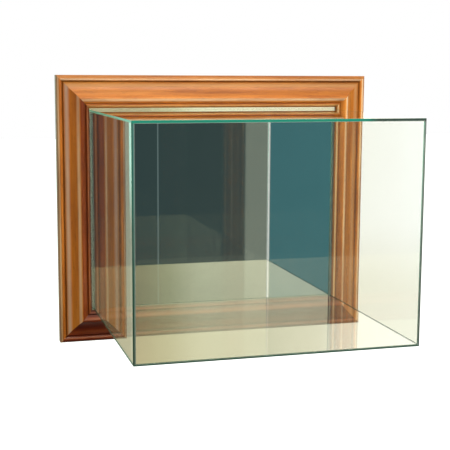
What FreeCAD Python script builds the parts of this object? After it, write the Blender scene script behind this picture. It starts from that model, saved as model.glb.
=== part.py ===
"""Wall-hung glass display case: a mitred moulding frame with a mirrored back, and a glass box.

Millimetres. X runs to the right, Y into the wall and Z up. The origin is midway between the entry
holes of the two keyhole hangers, on the back plane of the frame. The glass box stands out towards -Y.
"""
import FreeCAD, Part
import os
from FreeCAD import Vector

# ---- frame ----
frame_width = 473.0
frame_height = 391.0
hanger_drop = 19.0            # from the frame's top edge down to the keyhole entry holes
moulding_width = 47.0
rabbet_wall = 34.0            # width of the moulding's back, from its outer edge to the rabbet
rabbet_depth = 12.2
lip_height = 20.3             # from the back plane to the front of the small bead by the sight edge

# ---- glass box ----
box_width = 374.0
box_height = 293.0
box_depth = 316.0             # from the rear rim to the front face
box_gap_below = 1.0           # the box stands on setting blocks of this thickness
glass = 2.5
bond_line = 0.2               # thickness of the adhesive film between two panes
arris = 0.3                   # ground chamfer on every pane's edges
sealant_depth = 3.0
block_length = 30.0
block_spread = 130.0          # of the outer setting blocks, either side of the middle

# ---- mirrored back ----
mirror_thickness = 3.0
tape_thickness = 1.0
tape_width = 25.0
tape_height = 270.0
tape_spacing = 100.0
tape_count = 4
board_thickness = 8.0
back_clearance = 0.75         # between the back and the rabbet, each side
notch_radius = 11.0
notch_height = 90.0           # of the finger notches, above and below the middle of the board

# ---- hardware ----
button_length = 34.0
button_width = 12.0
button_thickness = 1.5
button_lift = 0.3             # clearance between a button and the wood
button_inset = 24.0           # pivot's distance in from the frame's outer edge
button_spread = 80.0          # pivots on the top and bottom rails, either side of the middle
rib_radius = 1.2              # of the rib that the thumb pushes
rib_share = 0.6               # the rib's length as a share of the button's width
pivot_radius = 1.75
pivot_clearance = 0.08
head_radius = 3.4
head_height = 1.6
head_round = 0.7
head_gap = 0.1                # between a button and the screw's head
screw_depth = 9.0
screw_tip = 2.5
screw_tip_radius = 0.2
hanger_length = 50.0
hanger_height = 20.0
hanger_thickness = 1.5
hanger_corner = 4.0
hanger_spacing = 304.8
hanger_rise = 3.0             # of the plate's middle above its entry hole
hanger_screw_inset = 6.0
small_screw_radius = 1.5
small_head_radius = 3.2
small_head_depth = 1.4
entry_radius = 4.6
slot_radius = 2.4
slot_rise = 8.0
head_room = 1.4               # round a wall screw's head, behind the plate
pocket_depth = 10.0
bumper_radius = 6.0
bumper_height = 4.0
bumper_round = 1.6
bumper_inset = 12.0
nail_leg = 7.0
nail_thickness = 0.8
nail_depth = 9.5
nail_insets = (8.0, 20.0)     # from both outer edges of the frame's corner

overcut = 1.0                 # how far a cutter runs past the faces that it cuts

# ---- derived places ----
top_edge = hanger_drop
bottom_edge = top_edge - frame_height
middle = (top_edge + bottom_edge) / 2
half_width = frame_width / 2
sight_half_width = half_width - moulding_width
sight_top = top_edge - moulding_width
sight_bottom = bottom_edge + moulding_width
rim_y = -rabbet_depth
front_y = rim_y - box_depth
box_bottom = sight_bottom + box_gap_below
box_top = box_bottom + box_height
box_side = box_width / 2
into_wall = Vector(0, 1, 0)


def save(name, shape):
    """Write one node, after checking that it is sound."""
    if not shape.isValid():
        raise ValueError(name + " is not a valid shape")
    shape.exportStep("parts/" + name + ".step")
    print(name, "solids", len(shape.Solids), "volume", round(shape.Volume / 1000, 2), "cm3")


def block(low, high):
    """A box between two opposite corners, each an (x, y, z) triple."""
    size = [b - a for a, b in zip(low, high)]
    return Part.makeBox(size[0], size[1], size[2], Vector(*low))


def cylinder(radius, start, length):
    """A round bar along +Y from a start point."""
    return Part.makeCylinder(radius, length, start, into_wall)


def turned(shape, degrees, centre=Vector(0, 0, 0)):
    """A copy turned about a line along +Y."""
    copy = shape.copy()
    copy.rotate(centre, into_wall, degrees)
    return copy


def moved(shape, x=0.0, y=0.0, z=0.0):
    """A copy shifted from where it was."""
    copy = shape.copy()
    copy.translate(Vector(x, y, z))
    return copy


def group(shapes):
    """Separate solids that share one node."""
    return Part.makeCompound(shapes)


# ---- moulding ----

def moulding_face(x):
    """The rail's section in the plane at x: a inward from the outer edge, t forward of the back."""
    def at(a, t):
        return Vector(x, -t, -a)

    def line(p, q):
        return Part.LineSegment(at(*p), at(*q)).toShape()

    def arc(p, through, q):
        return Part.Arc(at(*p), at(*through), at(*q)).toShape()

    back = (0.0, 0.0)
    side_top = (0.0, 13.2)
    bead_end = (8.3, 15.4)
    groove = (9.3, 13.6)
    scoop_start = (10.3, 14.6)
    scoop_end = (30.2, 22.9)
    crest_end = (35.6, 23.3)
    slope_end = (39.9, 20.0)
    quirk = (40.6, 19.2)
    lip_start = (41.2, 19.6)
    lip_end = (43.8, 19.0)
    chamfer_end = (moulding_width, 15.2)
    sight_back = (moulding_width, rabbet_depth)
    rabbet_corner = (rabbet_wall, rabbet_depth)
    rabbet_back = (rabbet_wall, 0.0)
    edges = [
        line(back, side_top),
        arc(side_top, (3.6, 17.3), bead_end),
        line(bead_end, groove),
        line(groove, scoop_start),
        arc(scoop_start, (21.6, 16.6), scoop_end),
        arc(scoop_end, (33.0, 24.5), crest_end),
        line(crest_end, slope_end),
        line(slope_end, quirk),
        line(quirk, lip_start),
        arc(lip_start, (42.4, lip_height), lip_end),
        line(lip_end, chamfer_end),
        line(chamfer_end, sight_back),
        line(sight_back, rabbet_corner),
        line(rabbet_corner, rabbet_back),
        line(rabbet_back, back),
    ]
    return Part.Face(Part.Wire(edges))


def rail(length):
    """A rail along X with its outer edge at z = 0 and mitred ends, as a top rail lies."""
    half = length / 2
    reach = moulding_width + 2 * overcut
    bar = moulding_face(-half).extrude(Vector(length, 0, 0))
    corners = [(-half, 0), (half, 0), (half - reach, -reach), (-half + reach, -reach), (-half, 0)]
    outline = Part.makePolygon([Vector(x, overcut, z) for x, z in corners])
    mitre = Part.Face(outline).extrude(Vector(0, -2 * lip_height, 0))
    return bar.common(mitre).Solids[0]


def rails():
    """The four rails in place, by name."""
    across = rail(frame_width)
    upright = rail(frame_height)
    return {
        "rail_top": moved(across, z=top_edge),
        "rail_bottom": moved(turned(across, 180), z=bottom_edge),
        "rail_left": moved(turned(upright, -90), x=-half_width, z=middle),
        "rail_right": moved(turned(upright, 90), x=half_width, z=middle),
    }


def v_nails():
    """Two angled nails across each mitre, driven in from the back."""
    nails = []
    for side in (-1, 1):
        for end in (-1, 1):
            for inset in nail_insets:
                x = side * (half_width - inset)
                z = middle + end * (frame_height / 2 - inset)
                t = nail_thickness / 2
                along = block((-t, -nail_depth, -t), (nail_leg, 0, t))
                down = block((-t, -nail_depth, -nail_leg), (t, 0, t))
                nail = along.fuse(down).removeSplitter()
                if side > 0:
                    nail = nail.mirror(Vector(0, 0, 0), Vector(1, 0, 0))
                if end < 0:
                    nail = nail.mirror(Vector(0, 0, 0), Vector(0, 0, 1))
                nails.append(moved(nail, x=x, z=z))
    return nails


# ---- glass box ----

def pane(low, high):
    """A pane of glass with its edges ground."""
    sheet = block(low, high)
    return sheet.makeChamfer(arris, sheet.Edges)


def panes():
    """The front covers the other four, the top and bottom run full width, the sides stand between."""
    behind = front_y + glass + bond_line
    low = box_bottom + glass + bond_line
    high = box_top - glass - bond_line
    return {
        "glass_front": pane((-box_side, front_y, box_bottom), (box_side, front_y + glass, box_top)),
        "glass_bottom": pane((-box_side, behind, box_bottom), (box_side, rim_y, box_bottom + glass)),
        "glass_top": pane((-box_side, behind, box_top - glass), (box_side, rim_y, box_top)),
        "glass_left": pane((-box_side, behind, low), (-box_side + glass, rim_y, high)),
        "glass_right": pane((box_side - glass, behind, low), (box_side, rim_y, high)),
    }


def bond_films():
    """Clear adhesive films: four behind the front pane, and one above and below each side pane."""
    edge = glass - arris
    face_y = front_y + glass
    films = []
    for z in (box_bottom, box_top - glass):
        low = (-box_side + arris, face_y, z + arris)
        high = (box_side - arris, face_y + bond_line, z + edge)
        films.append(block(low, high))
    for x in (-box_side, box_side - glass):
        reach = glass + bond_line + arris
        low = (x + arris, face_y, box_bottom + reach)
        high = (x + edge, face_y + bond_line, box_top - reach)
        films.append(block(low, high))
        for z in (box_bottom + glass, box_top - glass - bond_line):
            low = (x + arris, face_y + bond_line + arris, z)
            high = (x + edge, rim_y - arris, z + bond_line)
            films.append(block(low, high))
    return films


def setting_blocks():
    """Three clear silicone blocks in the gap under the box."""
    y = rim_y - sealant_depth
    blocks = []
    for x in (-block_spread, 0, block_spread):
        low = (x - block_length / 2, y, sight_bottom)
        high = (x + block_length / 2, rim_y, box_bottom)
        blocks.append(block(low, high))
    return blocks


def sealant(blocks):
    """Clear sealant between the box and the sight edge, one strip on each side."""
    y = rim_y - sealant_depth
    x = sight_half_width
    below = block((-x, y, sight_bottom), (x, rim_y, box_bottom))
    for spacer in blocks:
        below = below.cut(spacer)
    return {
        "sealant_top": block((-x, y, box_top), (x, rim_y, sight_top)),
        "sealant_bottom": below,
        "sealant_left": block((-x, y, box_bottom), (-box_side, rim_y, box_top)),
        "sealant_right": block((box_side, y, box_bottom), (x, rim_y, box_top)),
    }


# ---- mirrored back ----

def back_outline():
    """Half the width and half the height of the mirror and its board."""
    return half_width - rabbet_wall - back_clearance, frame_height / 2 - rabbet_wall - back_clearance


def mirror():
    x, z = back_outline()
    rear = -(board_thickness + tape_thickness)
    return pane((-x, rear - mirror_thickness, middle - z), (x, rear, middle + z))


def back_board():
    """The board, with finger notches in both sides."""
    x, z = back_outline()
    board = block((-x, -board_thickness, middle - z), (x, 0, middle + z))
    for side in (-1, 1):
        for height in (-notch_height, notch_height):
            start = Vector(side * x, -board_thickness - overcut, middle + height)
            board = board.cut(cylinder(notch_radius, start, board_thickness + 2 * overcut))
    return board


def mirror_tape():
    """Upright strips of foam tape between the mirror and the board."""
    strips = []
    for number in range(tape_count):
        x = (number - (tape_count - 1) / 2) * tape_spacing
        low = (x - tape_width / 2, -board_thickness - tape_thickness, middle - tape_height / 2)
        high = (x + tape_width / 2, -board_thickness, middle + tape_height / 2)
        strips.append(block(low, high))
    return strips


# ---- hardware ----

def cross_recess(head_top_y):
    """The cutter for a cross recess in a screw's head, on the axis through the origin."""
    depth = 0.9
    arm = 1.9
    gap = 0.45
    floor_y = head_top_y - depth
    first = block((-arm, floor_y, -gap), (arm, head_top_y + overcut, gap))
    second = block((-gap, floor_y, -arm), (gap, head_top_y + overcut, arm))
    return first.fuse(second)


def button_places():
    """Pivot and turn of each button: two on the top and bottom rails, one on each side rail."""
    z = frame_height / 2 - button_inset
    x = half_width - button_inset
    return [
        (-button_spread, middle + z, 180), (button_spread, middle + z, 0),
        (-button_spread, middle - z, 180), (button_spread, middle - z, 0),
        (-x, middle, 90), (x, middle, 90),
    ]


def turn_button():
    """A stamped button along +X from its pivot, with round ends and a rib for the thumb."""
    end = button_width / 2
    reach = button_length - button_width
    low = button_lift
    top = button_lift + button_thickness
    strip = block((0, low, -end), (reach, top, end))
    plate = strip.fuse(cylinder(end, Vector(0, low, 0), button_thickness))
    plate = plate.fuse(cylinder(end, Vector(reach, low, 0), button_thickness)).removeSplitter()
    rib_length = button_width * rib_share
    rib = Part.makeCylinder(rib_radius, rib_length, Vector(reach, top, -rib_length / 2))
    above = block((0, low, -end), (button_length, top + rib_radius + overcut, end))
    plate = plate.fuse(rib.common(above))
    hole_foot = Vector(0, low - overcut, 0)
    hole = cylinder(pivot_radius + pivot_clearance, hole_foot, button_thickness + 2 * overcut)
    return plate.cut(hole).removeSplitter()


def pivot_screw():
    """A pan-head screw on the axis through the origin, with its head over the button."""
    under_head = button_lift + button_thickness + head_gap
    shank = cylinder(pivot_radius, Vector(0, -screw_depth, 0), screw_depth + under_head)
    tip_foot = Vector(0, -screw_depth - screw_tip, 0)
    tip = Part.makeCone(screw_tip_radius, pivot_radius, screw_tip, tip_foot, into_wall)
    head = cylinder(head_radius, Vector(0, under_head, 0), head_height)
    rim = [edge for edge in head.Edges if edge.BoundBox.YMin > under_head + head_height / 2]
    head = head.makeFillet(head_round, rim)
    screw = shank.fuse(tip).fuse(head).removeSplitter()
    return screw.cut(cross_recess(under_head + head_height))


def keyhole_cutter(entry, slot, start_y, depth):
    """A keyhole along Y: a round entry at the origin and a slot that rises from it."""
    start = Vector(0, start_y, 0)
    cutter = cylinder(entry, start, depth)
    cutter = cutter.fuse(block((-slot, start_y, 0), (slot, start_y + depth, slot_rise)))
    return cutter.fuse(cylinder(slot, start + Vector(0, 0, slot_rise), depth)).removeSplitter()


def hanger_plate_blank():
    """The outline of a hanger plate, let in flush with the back plane."""
    low_z = hanger_rise - hanger_height / 2
    half = hanger_length / 2
    blank = block((-half, -hanger_thickness, low_z), (half, 0, low_z + hanger_height))
    corners = [edge for edge in blank.Edges if edge.BoundBox.YLength > hanger_thickness / 2]
    return blank.makeFillet(hanger_corner, corners)


def hanger_screw_places():
    reach = hanger_length / 2 - hanger_screw_inset
    return [-reach, reach]


def countersunk_screw(x, z):
    """A flat-head screw whose head is flush with the back plane."""
    neck = Vector(x, -small_head_depth, z)
    head = Part.makeCone(small_screw_radius, small_head_radius, small_head_depth, neck, into_wall)
    shank = cylinder(small_screw_radius, Vector(x, -screw_depth, z), screw_depth - small_head_depth)
    return head.fuse(shank).removeSplitter()


def hanger_plate():
    """A keyhole hanger with two countersunk screw holes."""
    start_y = -hanger_thickness - overcut
    keyhole = keyhole_cutter(entry_radius, slot_radius, start_y, hanger_thickness + 2 * overcut)
    plate = hanger_plate_blank().cut(keyhole)
    for x in hanger_screw_places():
        plate = plate.cut(countersunk_screw(x, hanger_rise))
    return plate


def hanger_pocket():
    """The cutter for the plate's seat and for the room behind its keyhole."""
    radius = entry_radius + head_room
    room = keyhole_cutter(radius, radius, -pocket_depth, pocket_depth)
    return hanger_plate_blank().fuse(room)


def bumper(x, z):
    """A domed rubber foot."""
    foot = cylinder(bumper_radius, Vector(x, 0, z), bumper_height)
    rim = [edge for edge in foot.Edges if edge.BoundBox.YMin > bumper_height / 2]
    return foot.makeFillet(bumper_round, rim)


def build():
    os.makedirs("parts", exist_ok=True)

    nails = v_nails()
    buttons = button_places()
    pivot_screws = [moved(pivot_screw(), x=x, z=z) for x, z, turn in buttons]
    hanger_x = [-hanger_spacing / 2, hanger_spacing / 2]
    hanger_screws = []
    for x in hanger_x:
        for dx in hanger_screw_places():
            hanger_screws.append(countersunk_screw(x + dx, hanger_rise))

    cutters = nails + pivot_screws + hanger_screws + [moved(hanger_pocket(), x=x) for x in hanger_x]
    for name, shape in rails().items():
        for cutter in cutters:
            if shape.BoundBox.intersect(cutter.BoundBox):
                shape = shape.cut(cutter)
        save(name, shape)
    save("corner_v_nails", group(nails))

    for name, shape in panes().items():
        save(name, shape)
    save("bond_films", group(bond_films()))
    blocks = setting_blocks()
    save("setting_blocks", group(blocks))
    for name, shape in sealant(blocks).items():
        save(name, shape)

    save("mirror", mirror())
    save("back_board", back_board())
    save("mirror_tape", group(mirror_tape()))

    for number, (x, z, turn) in enumerate(buttons, start=1):
        save("turn_button_" + str(number), moved(turned(turn_button(), turn), x=x, z=z))
    save("button_screws", group(pivot_screws))

    for side, x in zip(("left", "right"), hanger_x):
        save("keyhole_hanger_" + side, moved(hanger_plate(), x=x))
    save("hanger_screws", group(hanger_screws))

    x = half_width - bumper_inset
    z = frame_height / 2 - bumper_inset
    feet = [bumper(side * x, middle + end * z) for side in (-1, 1) for end in (-1, 1)]
    save("wall_bumpers", group(feet))


build()
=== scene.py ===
import math
import bpy
from mathutils import Matrix, Vector


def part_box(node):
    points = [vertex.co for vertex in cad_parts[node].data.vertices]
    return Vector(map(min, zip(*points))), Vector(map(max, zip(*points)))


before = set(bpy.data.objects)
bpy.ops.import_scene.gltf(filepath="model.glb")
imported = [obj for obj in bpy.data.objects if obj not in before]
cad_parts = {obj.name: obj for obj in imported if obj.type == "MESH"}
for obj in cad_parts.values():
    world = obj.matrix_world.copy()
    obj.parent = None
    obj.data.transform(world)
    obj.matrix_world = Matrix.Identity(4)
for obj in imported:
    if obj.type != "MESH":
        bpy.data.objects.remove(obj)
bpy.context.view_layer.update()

# A wall-hung glass display case. Metres: X right, Y into the wall, Z up; the glass box stands out to -Y.

# ---- places taken from the frame ----
frame_low_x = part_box("rail_left")[0].x
frame_high_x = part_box("rail_right")[1].x
frame_low_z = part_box("rail_bottom")[0].z
frame_high_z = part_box("rail_top")[1].z
half_width = (frame_high_x - frame_low_x) / 2
half_height = (frame_high_z - frame_low_z) / 2
middle_z = (frame_high_z + frame_low_z) / 2
moulding_width = frame_high_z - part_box("rail_top")[0].z
glass_low_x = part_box("glass_front")[0].x
glass_high_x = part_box("glass_front")[1].x
glass_low_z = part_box("glass_bottom")[0].z
glass_high_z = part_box("glass_top")[1].z
backdrop_low_x, backdrop_high_x = 0.100, 0.125      # on the front pane, where the frame ends in the photo

# ---- places across the moulding and their reach, as shares of its width from the outer edge ----
flat_place, flat_reach = 0.310, 0.10
lip_place, lip_reach = 0.935, 0.030
bead_reach = 0.045
crest_reach = 0.065

# ---- how light or dark the photo shows the moulding, stain and light together, by the same shares ----
# painted light and shade, together with darker staining in the groove and quirk
stain_and_shading_depths = [
    (0.00, 0.80), (0.06, 0.80), (0.13, 1.25), (0.165, 0.75), (0.198, 0.38), (0.23, 0.85), (0.31, 1.15),
    (0.40, 1.00), (0.50, 0.85), (0.62, 1.00), (0.74, 1.25), (0.79, 1.25), (0.84, 1.00),
    (0.875, 0.40), (0.90, 1.00), (0.935, 1.45), (0.965, 0.75), (1.00, 0.55),
]

# ---- studio ----
floor_drop = 1.4              # from the origin down to the floor, for a case hung at chest height
floor_size = 40.0
boost_behind = 0.34           # how much brighter the backdrop is in glass and mirror than its colours say
diffuse_dimming = 0.7         # how much less the world lights matt surfaces, save from straight behind

# ---- what glass and mirror show, by bearing in degrees; fitted to the photo from its own viewpoint ----
doorway_edge = (16.80, 16.96)
blue_wall_edge = (18.12, 18.30)
white_line, white_line_reach = 18.16, 0.11
faint_line, faint_line_reach = 12.07, 0.06
shadow_edge = (-10.48, -10.54)
warm_corner_edge = (21.0, 23.0)

# ---- the same, by how steeply a direction goes up or down ----
wall_foot = (-0.043, -0.036)
table_edge = (-0.02, 0.015)
floor_warmth = (-0.13, -0.21)
glow_foot = (-0.16, -0.08)

# ---- the photograph's camera: metres, and degrees to the right, down and about its own axis ----
camera_place = (-0.4114, -1.5223, 0.0276)
camera_turn, camera_tip, camera_roll = 15.77, 8.45, 0.31
camera_lens = 83.65           # millimetres, on a sensor 36 mm wide
sensor_width = 36.0


# ---------------------------------------------------------------- node helpers

def new_material(name):
    """An empty material and its node tree."""
    material = bpy.data.materials.new(name)
    material.use_nodes = True
    material.node_tree.nodes.clear()
    return material, material.node_tree


def add(tree, kind, inputs=None, **settings):
    """Adds a node. Each input is a plain value or another node's output."""
    node = tree.nodes.new("ShaderNode" + kind)
    for key, value in settings.items():
        setattr(node, key, value)
    for key, value in (inputs or {}).items():
        if isinstance(value, bpy.types.NodeSocket):
            tree.links.new(value, node.inputs[key])
        else:
            node.inputs[key].default_value = value
    return node


def calc(tree, operation, *values):
    """The output of a Math node."""
    return add(tree, "Math", dict(enumerate(values)), operation=operation).outputs[0]


def remap(tree, value, low, high, new_low=0.0, new_high=1.0):
    """A value's range mapped smoothly to another one, and held at its ends."""
    inputs = {"Value": value, "From Min": low, "From Max": high, "To Min": new_low, "To Max": new_high}
    return add(tree, "MapRange", inputs, interpolation_type="SMOOTHSTEP").outputs["Result"]


def remap_straight(tree, value, low, high):
    """A value's range mapped evenly to 0 to 1, and held at its ends."""
    inputs = {"Value": value, "From Min": low, "From Max": high}
    return add(tree, "MapRange", inputs).outputs["Result"]


def mix_colours(tree, how, factor, first, second):
    """Two colours put together by a Mix node, whose factor and colour sockets go by number."""
    inputs = {0: factor, 6: first, 7: second}
    return add(tree, "Mix", inputs, data_type="RGBA", blend_type=how).outputs[2]


def blend_colours(tree, factor, first, second):
    """Two colours mixed by a factor."""
    return mix_colours(tree, "MIX", factor, first, second)


def multiply_colours(tree, factor, first, second):
    """The first colour darkened by the second, as far as the factor says."""
    return mix_colours(tree, "MULTIPLY", factor, first, second)


def ramp(tree, factor, stops):
    """A colour ramp's output; each stop is a place and a colour."""
    node = add(tree, "ValToRGB", {"Fac": factor})
    elements = node.color_ramp.elements
    while len(elements) < len(stops):
        elements.new(0.5)
    for element, (place, colour) in zip(elements, stops):
        element.position = place
        element.color = colour
    return node.outputs["Color"]


def shade(red, green, blue):
    """A linear colour with full alpha."""
    return (red, green, blue, 1.0)


def place_of(tree, stretch=(1.0, 1.0, 1.0)):
    """The surface point in the row frame, stretched along the axes."""
    point = add(tree, "TexCoord").outputs["Object"]
    return add(tree, "Mapping", {"Vector": point, "Scale": stretch}).outputs["Vector"]


def noise(tree, vector, scale, detail=4.0, roughness=0.55):
    """A noise texture's value, from 0 to 1."""
    inputs = {"Vector": vector, "Scale": scale, "Detail": detail, "Roughness": roughness}
    return add(tree, "TexNoise", inputs).outputs[0]


def bump(tree, height, strength, depth):
    """A bump normal of that depth in metres."""
    inputs = {"Height": height, "Strength": strength, "Distance": depth}
    return add(tree, "Bump", inputs).outputs["Normal"]


def facing(tree, axis):
    """The surface normal's part along one row axis, from -1 to 1."""
    normal = add(tree, "NewGeometry").outputs["Normal"]
    return add(tree, "SeparateXYZ", {"Vector": normal}).outputs[axis]


def principled(tree, **inputs):
    """A Principled shader; an underscore in an argument's name is a space in the socket's."""
    named = {key.replace("_", " "): value for key, value in inputs.items()}
    return add(tree, "BsdfPrincipled", named)


def finish_material(tree, shader):
    """Links a shader to the material's output."""
    output = add(tree, "OutputMaterial")
    tree.links.new(shader.outputs[0], output.inputs["Surface"])


def lets_lamps_through(tree, shader, tint):
    """The same shader, but lamps shine straight through it with a tint."""
    ray = add(tree, "LightPath").outputs["Is Shadow Ray"]
    clear = add(tree, "BsdfTransparent", {"Color": tint})
    return add(tree, "MixShader", {0: ray, 1: shader.outputs[0], 2: clear.outputs[0]})


# ---------------------------------------------------------------- materials

def distance_in(tree, across):
    """How far a point lies in from the frame's outer edge, as a share of the moulding's width."""
    point = add(tree, "SeparateXYZ", {"Vector": place_of(tree)})
    if across == "Z":
        from_middle = calc(tree, "ABSOLUTE", calc(tree, "SUBTRACT", point.outputs["Z"], middle_z))
        inward = calc(tree, "SUBTRACT", half_height, from_middle)
    else:
        inward = calc(tree, "SUBTRACT", half_width, calc(tree, "ABSOLUTE", point.outputs["X"]))
    return calc(tree, "DIVIDE", inward, moulding_width)


def near(tree, value, place, reach):
    """One at a place and falling to nothing at that reach from it."""
    away = calc(tree, "ABSOLUTE", calc(tree, "SUBTRACT", value, place))
    return remap(tree, away, 0.0, reach, 1.0, 0.0)


def walnut(name, along, bead_place, crest_place, rail_shading_tint, slope_shading_tint, flat_sheen_colour):
    """Stained and lacquered wood with its grain along X or Z, and the photo's light painted into it.

    The real rails are most likely stained alike. Here each rail's colours also carry painted highlights and
    shade: pale bands on its bead, crest and lip, a tint of painted light and shade overall, another on the
    slope inside the crest, and a painted sheen on the flat beside the outer bead.
    """
    material, tree = new_material(name)
    long_scale, cross_scale = 1.0, 16.0
    if along == "X":
        stretch = (long_scale, cross_scale, cross_scale)
        inward = distance_in(tree, "Z")
    else:
        stretch = (cross_scale, cross_scale, long_scale)
        inward = distance_in(tree, "X")
    grain = place_of(tree, stretch)
    streaks = noise(tree, grain, 7.0, detail=8.0, roughness=0.62)
    pores = noise(tree, grain, 55.0, detail=3.0, roughness=0.7)
    clouds = noise(tree, place_of(tree), 9.0, detail=3.0)

    stain_and_shading = ramp(tree, streaks, [
        (0.28, shade(0.300, 0.080, 0.008)),
        (0.44, shade(0.500, 0.158, 0.017)),
        (0.58, shade(0.620, 0.218, 0.028)),
        (0.76, shade(0.700, 0.275, 0.045)),
    ])
    dark_clouds = remap(tree, clouds, 0.40, 0.72, 0.0, 0.25)
    stain_and_shading = blend_colours(tree, dark_clouds, stain_and_shading, shade(0.26, 0.070, 0.014))
    pore_mask = remap(tree, pores, 0.57, 0.70, 0.0, 0.50)
    stain_and_shading = blend_colours(tree, pore_mask, stain_and_shading, shade(0.070, 0.020, 0.006))

    # light and dark bands across the moulding: painted light and shade, with darker staining in groove and
    # quirk
    depth = ramp(tree, inward, [(place, shade(depth, depth, depth)) for place, depth in stain_and_shading_depths])
    stain_and_shading = multiply_colours(tree, 1.0, stain_and_shading, depth)
    # a tint over the whole rail that paints its light and shade: brighter on the top and right rails, dark
    # red on the bottom
    stain_and_shading = multiply_colours(tree, 1.0, stain_and_shading, rail_shading_tint)
    # a painted sheen on the flat beside the outer bead
    flat = calc(tree, "MULTIPLY", near(tree, inward, flat_place, flat_reach), 0.65)
    stain_and_shading = blend_colours(tree, flat, stain_and_shading, flat_sheen_colour)

    crest = near(tree, inward, crest_place, crest_reach)
    high_places = calc(tree, "MAXIMUM", crest, near(tree, inward, bead_place, bead_reach))
    high_places = calc(tree, "MAXIMUM", high_places, near(tree, inward, lip_place, lip_reach))
    shine = calc(tree, "MULTIPLY", high_places, remap(tree, streaks, 0.30, 0.65, 0.40, 0.85))
    highlight = multiply_colours(tree, 1.0, shade(1.00, 0.76, 0.52), rail_shading_tint)
    stain_and_shading = blend_colours(tree, shine, stain_and_shading, highlight)
    # a tint on the slope inside the crest that paints its light and shade: darker on the sides and bottom,
    # warmer on top
    on_slope = remap(tree, inward, crest_place + 0.04, crest_place + 0.08)
    stain_and_shading = multiply_colours(tree, on_slope, stain_and_shading, slope_shading_tint)

    raw = calc(tree, "GREATER_THAN", facing(tree, "Y"), 0.5)
    raw_wood = ramp(tree, streaks, [(0.30, shade(0.34, 0.21, 0.11)), (0.70, shade(0.56, 0.39, 0.23))])
    colour = blend_colours(tree, raw, stain_and_shading, raw_wood)

    lacquer = remap(tree, clouds, 0.35, 0.65, 0.32, 0.44)
    lacquer = calc(tree, "ADD", lacquer, calc(tree, "MULTIPLY", pore_mask, 0.20))
    roughness = calc(tree, "MAXIMUM", lacquer, calc(tree, "MULTIPLY", raw, 0.68))
    height = calc(tree, "ADD", calc(tree, "MULTIPLY", streaks, 0.5), calc(tree, "MULTIPLY", pores, 0.5))
    coat = calc(tree, "MULTIPLY", calc(tree, "SUBTRACT", 1.0, raw), 0.12)
    shader = principled(
        tree, Base_Color=colour, Roughness=roughness, IOR=1.38, Coat_Weight=coat, Coat_Roughness=0.16,
        Normal=bump(tree, height, 0.25, 0.0004),
    )
    finish_material(tree, shader)
    return material


def glass(name, thin_axis, bonded_axis=None, rims=()):
    """Clear float glass: see-through faces square to its thin axis, and green ground edges with painted
    light: darker low down, bright teal high up.

    With a bonded axis, edges that face along it, or towards -Y, are glued to another pane and stay clear.
    Each rim is a painted band that stands for the glow of a glued joint seen through the pane: an axis, a
    place on it, a width and two colours. An X rim runs from the first colour at its foot to the second at
    its top. A Z rim changes to the second where the photo has the backdrop behind it and not the frame.
    """
    material, tree = new_material(name)
    edge = calc(tree, "LESS_THAN", calc(tree, "ABSOLUTE", facing(tree, thin_axis)), 0.9)
    if bonded_axis:
        open_edge = calc(tree, "LESS_THAN", calc(tree, "ABSOLUTE", facing(tree, bonded_axis)), 0.9)
        edge = calc(tree, "MULTIPLY", edge, open_edge)
        edge = calc(tree, "MULTIPLY", edge, calc(tree, "GREATER_THAN", facing(tree, "Y"), -0.9))
    smears = noise(tree, place_of(tree), 14.0, detail=5.0)
    film = remap(tree, smears, 0.52, 0.80, 0.0, 1.0)
    clear = blend_colours(tree, film, shade(0.992, 1.0, 0.972), shade(0.975, 0.985, 0.950))
    point = add(tree, "SeparateXYZ", {"Vector": place_of(tree)}).outputs
    # painted light on the ground edges and the X rims: darker at the foot of the box, brighter at its top
    lit = remap(tree, point["Z"], glass_low_z, glass_high_z)
    far_end = {"X": lit, "Z": remap(tree, point["X"], backdrop_low_x, backdrop_high_x)}
    green = blend_colours(tree, lit, shade(0.010, 0.100, 0.062), shade(0.240, 0.900, 0.720))
    cut_marks = noise(tree, place_of(tree), 240.0, detail=4.0)
    dulled = remap(tree, cut_marks, 0.35, 0.70, 0.0, 0.30)
    green = blend_colours(tree, dulled, green, shade(0.060, 0.420, 0.320))
    colour = blend_colours(tree, edge, clear, green)
    opaque = calc(tree, "MULTIPLY", edge, 0.6)
    for axis, place, width, low_glow, high_glow in rims:
        away = calc(tree, "ABSOLUTE", calc(tree, "SUBTRACT", point[axis], place))
        at_rim = remap(tree, away, width * 0.7, width, 1.0, 0.0)
        glow = blend_colours(tree, far_end[axis], low_glow, high_glow)
        colour = blend_colours(tree, at_rim, colour, glow)
        opaque = calc(tree, "MAXIMUM", opaque, calc(tree, "MULTIPLY", at_rim, 0.8))
    ground = remap(tree, cut_marks, 0.30, 0.70, 0.16, 0.26)
    shader = principled(
        tree, Base_Color=colour, Roughness=calc(tree, "MULTIPLY", edge, ground), IOR=1.52,
        Transmission_Weight=calc(tree, "SUBTRACT", 1.0, opaque),
        Normal=bump(tree, calc(tree, "MULTIPLY", cut_marks, edge), 0.08, 0.0001),
    )
    finish_material(tree, lets_lamps_through(tree, shader, shade(0.95, 0.98, 0.93)))
    return material


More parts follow.
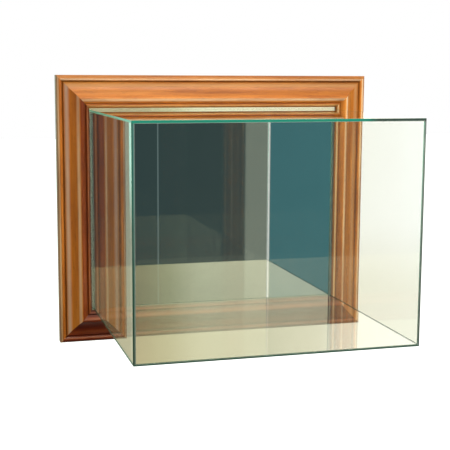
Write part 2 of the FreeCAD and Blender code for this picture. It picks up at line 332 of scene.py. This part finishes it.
def silvered_mirror(name):
    """Float glass silvered on one side, with a painted rear and green edges."""
    material, tree = new_material(name)
    toward_wall = facing(tree, "Y")
    front = calc(tree, "LESS_THAN", toward_wall, -0.9)
    rear = calc(tree, "GREATER_THAN", toward_wall, 0.9)
    haze = noise(tree, place_of(tree), 11.0, detail=5.0)
    dimmer = remap(tree, haze, 0.45, 0.75)
    silver = blend_colours(tree, dimmer, shade(0.90, 0.94, 0.92), shade(0.86, 0.91, 0.89))
    paint = ramp(tree, noise(tree, place_of(tree), 60.0), [
        (0.35, shade(0.20, 0.22, 0.22)), (0.65, shade(0.28, 0.30, 0.30))])
    colour = blend_colours(tree, front, shade(0.02, 0.27, 0.17), silver)
    colour = blend_colours(tree, rear, colour, paint)
    polish = remap(tree, haze, 0.55, 0.85, 0.0, 0.006)
    roughness = calc(tree, "ADD", calc(tree, "MULTIPLY", front, polish),
                     calc(tree, "MULTIPLY", calc(tree, "SUBTRACT", 1.0, front), 0.45))
    shader = principled(tree, Base_Color=colour, Metallic=front, Roughness=roughness)
    finish_material(tree, shader)
    return material


def silicone(name):
    """Clear cured sealant, slightly cloudy, with small bubbles."""
    material, tree = new_material(name)
    cloud = noise(tree, place_of(tree), 90.0, detail=5.0)
    bubbles = add(tree, "TexVoronoi", {"Vector": place_of(tree), "Scale": 420.0}).outputs["Distance"]
    colour = blend_colours(tree, cloud, shade(1.0, 0.985, 0.950), shade(0.97, 0.955, 0.90))
    height = calc(tree, "ADD", cloud, remap(tree, bubbles, 0.0, 0.25, 1.0, 0.0))
    shader = principled(
        tree, Base_Color=colour, Roughness=remap(tree, cloud, 0.3, 0.7, 0.01, 0.05), IOR=1.41,
        Transmission_Weight=0.95, Normal=bump(tree, height, 0.03, 0.0002),
    )
    finish_material(tree, lets_lamps_through(tree, shader, shade(0.88, 0.92, 0.87)))
    return material


def adhesive(name):
    """The clear cured film between two panes, with faint clouding."""
    material, tree = new_material(name)
    cloud = noise(tree, place_of(tree), 120.0, detail=4.0)
    colour = blend_colours(tree, cloud, shade(0.99, 1.0, 0.975), shade(0.96, 0.985, 0.945))
    shader = principled(
        tree, Base_Color=colour, Roughness=remap(tree, cloud, 0.4, 0.8, 0.0, 0.03), IOR=1.5,
        Transmission_Weight=1.0,
    )
    finish_material(tree, lets_lamps_through(tree, shader, shade(0.95, 0.97, 0.93)))
    return material


def fibreboard(name):
    """Brown board with pressed fibres and scattered pale chips."""
    material, tree = new_material(name)
    place = place_of(tree)
    fibres = noise(tree, place, 260.0, detail=6.0, roughness=0.7)
    chips = add(tree, "TexVoronoi", {"Vector": place, "Scale": 330.0}).outputs["Distance"]
    clouds = noise(tree, place, 12.0, detail=4.0)
    colour = ramp(tree, fibres, [(0.30, shade(0.15, 0.085, 0.042)), (0.70, shade(0.33, 0.205, 0.112))])
    pale_chips = remap(tree, chips, 0.02, 0.12, 0.35, 0.0)
    colour = blend_colours(tree, pale_chips, colour, shade(0.50, 0.36, 0.22))
    dark_clouds = remap(tree, clouds, 0.35, 0.7, 0.0, 0.30)
    colour = blend_colours(tree, dark_clouds, colour, shade(0.13, 0.075, 0.038))
    shader = principled(
        tree, Base_Color=colour, Roughness=remap(tree, fibres, 0.3, 0.7, 0.62, 0.85),
        Normal=bump(tree, fibres, 0.35, 0.0005),
    )
    finish_material(tree, shader)
    return material


def foam(name):
    """White foam tape with open cells, painted darker in their pits as shade."""
    material, tree = new_material(name)
    cells = add(tree, "TexVoronoi", {"Vector": place_of(tree), "Scale": 900.0}).outputs["Distance"]
    colour = ramp(tree, cells, [(0.0, shade(0.50, 0.50, 0.48)), (0.5, shade(0.84, 0.84, 0.81))])
    shader = principled(
        tree, Base_Color=colour, Roughness=remap(tree, cells, 0.0, 0.6, 0.95, 0.75),
        Normal=bump(tree, cells, 0.6, 0.0004),
    )
    finish_material(tree, shader)
    return material


def plated_metal(name, dark, light, tarnish):
    """Plated steel with fine rolling marks, rubbed bright in places."""
    material, tree = new_material(name)
    scratches = noise(tree, place_of(tree, (1.0, 1.0, 14.0)), 260.0, detail=6.0, roughness=0.7)
    patches = noise(tree, place_of(tree), 150.0, detail=4.0)
    colour = ramp(tree, scratches, [(0.30, dark), (0.70, light)])
    colour = blend_colours(tree, remap(tree, patches, 0.50, 0.75, 0.0, 0.45), colour, tarnish)
    rubbed = remap(tree, scratches, 0.30, 0.70, 0.42, 0.22)
    shader = principled(
        tree, Base_Color=colour, Metallic=1.0,
        Roughness=calc(tree, "ADD", rubbed, remap(tree, patches, 0.50, 0.75, 0.0, 0.18)),
        Normal=bump(tree, scratches, 0.15, 0.0001),
    )
    finish_material(tree, shader)
    return material


def rubber(name):
    """Black moulded rubber with a dusty bloom."""
    material, tree = new_material(name)
    grain = noise(tree, place_of(tree), 700.0, detail=5.0, roughness=0.7)
    bloom = noise(tree, place_of(tree), 120.0, detail=4.0)
    colour = blend_colours(tree, remap(tree, bloom, 0.45, 0.75, 0.0, 0.5), shade(0.012, 0.012, 0.013),
                           shade(0.055, 0.054, 0.052))
    shader = principled(
        tree, Base_Color=colour, Roughness=remap(tree, bloom, 0.35, 0.7, 0.48, 0.78),
        Normal=bump(tree, grain, 0.3, 0.0002),
    )
    finish_material(tree, shader)
    return material


def dress(names, material):
    """Gives CAD nodes a material."""
    for name in names:
        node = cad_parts[name]
        for slot in node.material_slots:
            slot.material = material


def dress_rails():
    """Each rail's grain, the places of its painted highlights, and its painted light and shade: an overall
    tint, a slope tint and a sheen colour on the flat.
    """
    # the painted sheen on the flats of the top and right rails
    pale_flat_sheen = shade(0.66, 0.38, 0.18)
    looks = {
        "top": ("X", 0.13, 0.755, shade(1.12, 1.08, 1.05), shade(1.10, 0.98, 0.62), pale_flat_sheen),
        "bottom": ("X", 0.13, 0.745, shade(0.30, 0.10, 0.045), shade(0.70, 0.50, 0.40),
                   shade(0.16, 0.035, 0.008)),
        "left": ("Z", 0.05, 0.635, shade(0.92, 0.82, 0.72), shade(0.40, 0.23, 0.14),
                 shade(0.50, 0.40, 0.34)),
        "right": ("Z", 0.09, 0.665, shade(1.50, 1.50, 1.40), shade(0.70, 0.66, 0.60), pale_flat_sheen),
    }
    for side, look in looks.items():
        dress(["rail_" + side], walnut("walnut_" + side, *look))


def dress_glass():
    """The five panes; the front one carries painted bands of light and shade for the joints behind its
    edges.
    """
    dress(["glass_top", "glass_bottom"], glass("glass_level", "Z"))
    dress(["glass_left", "glass_right"], glass("glass_upright", "X", bonded_axis="Z"))
    # painted light and shade on the front pane's rims: the bottom joint dark as shade, the top one bright
    # teal as glow
    shaded_joint = shade(0.02, 0.11, 0.075)
    dress(["glass_front"], glass("glass_facing", "Y", rims=[
        ("X", glass_low_x, 0.0038, shade(0.17, 0.25, 0.20), shade(0.16, 0.34, 0.33)),
        ("X", glass_low_x, 0.0016, shade(0.015, 0.060, 0.035), shade(0.035, 0.20, 0.16)),
        ("X", glass_high_x, 0.0018, shade(0.10, 0.14, 0.13), shade(0.24, 0.31, 0.30)),
        ("Z", glass_low_z, 0.0020, shaded_joint, shaded_joint),
        ("Z", glass_high_z, 0.0040, shade(0.035, 0.40, 0.30), shade(0.085, 0.130, 0.110)),
    ]))


def dress_all():
    """Gives every piece its material."""
    dress_rails()
    dress_glass()
    dress(["mirror"], silvered_mirror("silvered_glass"))
    clear_seals = ["sealant_" + side for side in ("top", "bottom", "left", "right")]
    dress(clear_seals + ["setting_blocks"], silicone("clear_silicone_seal"))
    dress(["bond_films"], adhesive("clear_adhesive_film"))
    dress(["back_board"], fibreboard("brown_fibreboard"))
    dress(["mirror_tape"], foam("white_foam_tape"))
    brass = plated_metal("brass_plating", shade(0.50, 0.33, 0.12), shade(0.80, 0.60, 0.27),
                         shade(0.33, 0.20, 0.08))
    dress(["turn_button_" + str(number) for number in range(1, 7)], brass)
    zinc = plated_metal("zinc_plating", shade(0.40, 0.41, 0.42), shade(0.68, 0.69, 0.70),
                        shade(0.46, 0.44, 0.34))
    dress(["button_screws", "hanger_screws", "corner_v_nails"], zinc)
    dress(["keyhole_hanger_left", "keyhole_hanger_right"], zinc)
    dress(["wall_bumpers"], rubber("black_rubber_moulding"))


# ---------------------------------------------------------------- studio

def make_floor():
    """A plain pale floor far below the case."""
    material, tree = new_material("studio_floor")
    mottle = noise(tree, place_of(tree), 3.0)
    colour = ramp(tree, mottle, [(0.3, shade(0.88, 0.88, 0.87)), (0.7, shade(0.93, 0.93, 0.92))])
    shader = principled(
        tree, Base_Color=colour, Roughness=0.9, Emission_Color=shade(1.0, 1.0, 0.995), Emission_Strength=1.0)
    finish_material(tree, shader)
    reach = floor_size / 2
    corners = [(-reach, -reach), (reach, -reach), (reach, reach), (-reach, reach)]
    mesh = bpy.data.meshes.new("studio_floor")
    mesh.from_pydata([(x, y, -floor_drop) for x, y in corners], [], [(0, 1, 2, 3)])
    mesh.materials.append(material)
    floor = bpy.data.objects.new("studio_floor", mesh)
    bpy.context.scene.collection.objects.link(floor)
    floor.visible_glossy = False
    floor.visible_transmission = False
    floor.visible_diffuse = False


def at_angle(degrees):
    """Where a bearing falls on a colour ramp that runs from -90 to 90 degrees."""
    return (degrees + 90.0) / 180.0


def bearing(tree, sideways, forward):
    """A direction's angle in degrees from straight ahead, turning towards +X."""
    return calc(tree, "DEGREES", calc(tree, "ARCTAN2", sideways, forward))


def room_in_front(tree, direction):
    """What the mirror shows: a dim lower room with pale bands, and pale walls above the horizon."""
    angle = bearing(tree, direction["X"], calc(tree, "MULTIPLY", direction["Y"], -1.0))
    across = remap_straight(tree, angle, -90.0, 90.0)
    lower = ramp(tree, across, [
        (at_angle(-80), shade(0.30, 0.30, 0.29)),
        (at_angle(-30), shade(0.040, 0.055, 0.055)),
        (at_angle(3), shade(0.026, 0.050, 0.055)),
        (at_angle(14), shade(0.037, 0.058, 0.060)),
        (at_angle(30), shade(0.044, 0.064, 0.064)),
        (at_angle(80), shade(0.30, 0.30, 0.28)),
    ])
    doorway = remap(tree, angle, *doorway_edge)
    lower = blend_colours(tree, doorway, lower, shade(0.150, 0.176, 0.155))
    blue_wall = remap(tree, angle, *blue_wall_edge)
    lower = blend_colours(tree, blue_wall, lower, shade(0.060, 0.185, 0.215))
    bright = near(tree, angle, white_line, white_line_reach)
    lower = blend_colours(tree, bright, lower, shade(1.0, 1.0, 0.98))
    faint = calc(tree, "MULTIPLY", near(tree, angle, faint_line, faint_line_reach), 0.3)
    lower = blend_colours(tree, faint, lower, shade(0.35, 0.46, 0.48))
    upper = ramp(tree, across, [
        (at_angle(-80), shade(0.75, 0.74, 0.70)),
        (at_angle(0), shade(0.44, 0.37, 0.20)),
        (at_angle(11), shade(0.52, 0.45, 0.26)),
        (at_angle(12.5), shade(0.66, 0.63, 0.38)),
        (at_angle(14.4), shade(1.0, 0.98, 0.70)),
        (at_angle(20), shade(1.0, 0.92, 0.68)),
        (at_angle(23), shade(0.90, 0.78, 0.58)),
        (at_angle(80), shade(0.80, 0.78, 0.70)),
    ])
    return blend_colours(tree, remap(tree, direction["Z"], *wall_foot), lower, upper)


def backdrop_behind(tree, direction):
    """The backdrop as glass and mirror show it.

    It is beige below, brighter above and nearly white to the right of the case, where it warms towards the
    floor. To the left is a mint glow that the left pane catches beside its front edge.
    """
    angle = bearing(tree, direction["X"], direction["Y"])
    across = remap_straight(tree, angle, -90.0, 90.0)
    below = ramp(tree, across, [
        (at_angle(-70), shade(0.75, 0.74, 0.70)),
        (at_angle(-16), shade(0.26, 0.19, 0.10)),
        (at_angle(-10.4), shade(0.36, 0.37, 0.27)),
        (at_angle(-5), shade(0.34, 0.28, 0.16)),
        (at_angle(8), shade(0.42, 0.35, 0.21)),
        (at_angle(12), shade(0.47, 0.41, 0.26)),
        (at_angle(18), shade(0.50, 0.47, 0.35)),
        (at_angle(21), shade(0.62, 0.59, 0.46)),
        (at_angle(23), shade(1.0, 0.99, 0.92)),
        (at_angle(27), shade(1.0, 1.0, 0.98)),
        (at_angle(80), shade(0.90, 0.90, 0.88)),
    ])
    above = ramp(tree, across, [
        (at_angle(-70), shade(0.75, 0.74, 0.70)),
        (at_angle(-20), shade(0.30, 0.22, 0.12)),
        (at_angle(8), shade(0.30, 0.25, 0.14)),
        (at_angle(11.5), shade(0.48, 0.44, 0.26)),
        (at_angle(14), shade(1.0, 0.98, 0.70)),
        (at_angle(20), shade(1.0, 0.96, 0.76)),
        (at_angle(27), shade(1.0, 1.0, 0.98)),
        (at_angle(80), shade(0.90, 0.90, 0.88)),
    ])
    colour = blend_colours(tree, remap(tree, direction["Z"], *table_edge), below, above)
    past_the_shadow = remap(tree, angle, *shadow_edge)
    low_down = remap(tree, direction["Z"], *floor_warmth)
    warm_corner = calc(tree, "MULTIPLY", low_down, remap(tree, angle, *warm_corner_edge))
    colour = multiply_colours(tree, warm_corner, colour, shade(0.86, 0.84, 0.76))
    high_up = remap(tree, direction["Z"], *glow_foot)
    glow = blend_colours(tree, high_up, shade(0.40, 0.44, 0.33), shade(0.70, 1.15, 0.95))
    return blend_colours(tree, past_the_shadow, colour, glow)


def make_world():
    """Surroundings fitted to what the photo's glass and mirror show; the camera itself sees plain white."""
    world = bpy.data.worlds.new("studio")
    bpy.context.scene.world = world
    world.use_nodes = True
    tree = world.node_tree
    tree.nodes.clear()
    direction = add(tree, "SeparateXYZ", {"Vector": add(tree, "TexCoord").outputs["Generated"]}).outputs
    behind = remap(tree, direction["Y"], -0.15, 0.15)
    colour = blend_colours(tree, behind, room_in_front(tree, direction), backdrop_behind(tree, direction))
    ray = add(tree, "LightPath").outputs
    colour = blend_colours(tree, ray["Is Camera Ray"], colour, shade(1.0, 1.0, 1.0))
    boost = calc(tree, "MULTIPLY", behind, calc(tree, "SUBTRACT", 1.0, ray["Is Camera Ray"]))
    strength = calc(tree, "ADD", 1.0, calc(tree, "MULTIPLY", boost, boost_behind))
    not_straight_behind = remap(tree, direction["Y"], 0.3, 0.9, 1.0, 0.0)
    dimmed = calc(tree, "MULTIPLY", ray["Is Diffuse Ray"], not_straight_behind)
    kept = calc(tree, "SUBTRACT", 1.0, calc(tree, "MULTIPLY", dimmed, diffuse_dimming))
    strength = calc(tree, "MULTIPLY", strength, kept)
    background = add(tree, "Background", {"Color": colour, "Strength": strength})
    output = add(tree, "OutputWorld")
    tree.links.new(background.outputs[0], output.inputs["Surface"])


def soft_light(name, place, target, width, height, power, colour):
    """A studio softbox that faces a target."""
    light = bpy.data.lights.new(name, "AREA")
    light.shape = "RECTANGLE"
    light.size = width
    light.size_y = height
    light.energy = power
    light.color = colour
    holder = bpy.data.objects.new(name, light)
    holder.location = place
    holder.rotation_mode = "QUATERNION"
    holder.rotation_quaternion = (Vector(target) - Vector(place)).to_track_quat("-Z", "Y")
    bpy.context.scene.collection.objects.link(holder)


def make_lights():
    """Softboxes kept high, so that the glass and the mirror don't show them in the photograph's view."""
    centre = (0.0, -0.1, middle_z)
    warm_white = (1.0, 0.94, 0.84)
    soft_light("key_overhead", (-0.05, -0.55, 1.25), centre, 1.2, 1.0, 8.0, warm_white)
    soft_light("key_front", (0.45, -1.65, 0.95), centre, 1.1, 0.5, 17.0, warm_white)
    soft_light("fill_left", (-0.75, -2.0, 1.0), centre, 0.6, 0.6, 9.0, (1.0, 0.96, 0.90))


def make_camera():
    """The photograph's view: from the left and a little above, turned to the right and down."""
    camera = bpy.data.cameras.new("view")
    camera.sensor_width = sensor_width
    camera.lens = camera_lens
    camera.clip_start = 0.05
    camera.clip_end = 100.0
    holder = bpy.data.objects.new("view", camera)
    turn_right = Matrix.Rotation(math.radians(-camera_turn), 4, "Z")
    tip_down = Matrix.Rotation(math.radians(90.0 - camera_tip), 4, "X")
    roll = Matrix.Rotation(math.radians(camera_roll), 4, "Z")
    place = Matrix.Translation(camera_place)
    holder.matrix_world = place @ turn_right @ tip_down @ roll
    bpy.context.scene.collection.objects.link(holder)
    bpy.context.scene.camera = holder


def set_up_view():
    """No film look, and enough bounces for light to pass through every pane."""
    scene = bpy.context.scene
    scene.view_settings.view_transform = "Standard"
    scene.cycles.max_bounces = 24
    scene.cycles.transmission_bounces = 24
    scene.cycles.glossy_bounces = 12
    scene.cycles.transparent_max_bounces = 24


dress_all()
make_floor()
make_world()
make_lights()
make_camera()
set_up_view()
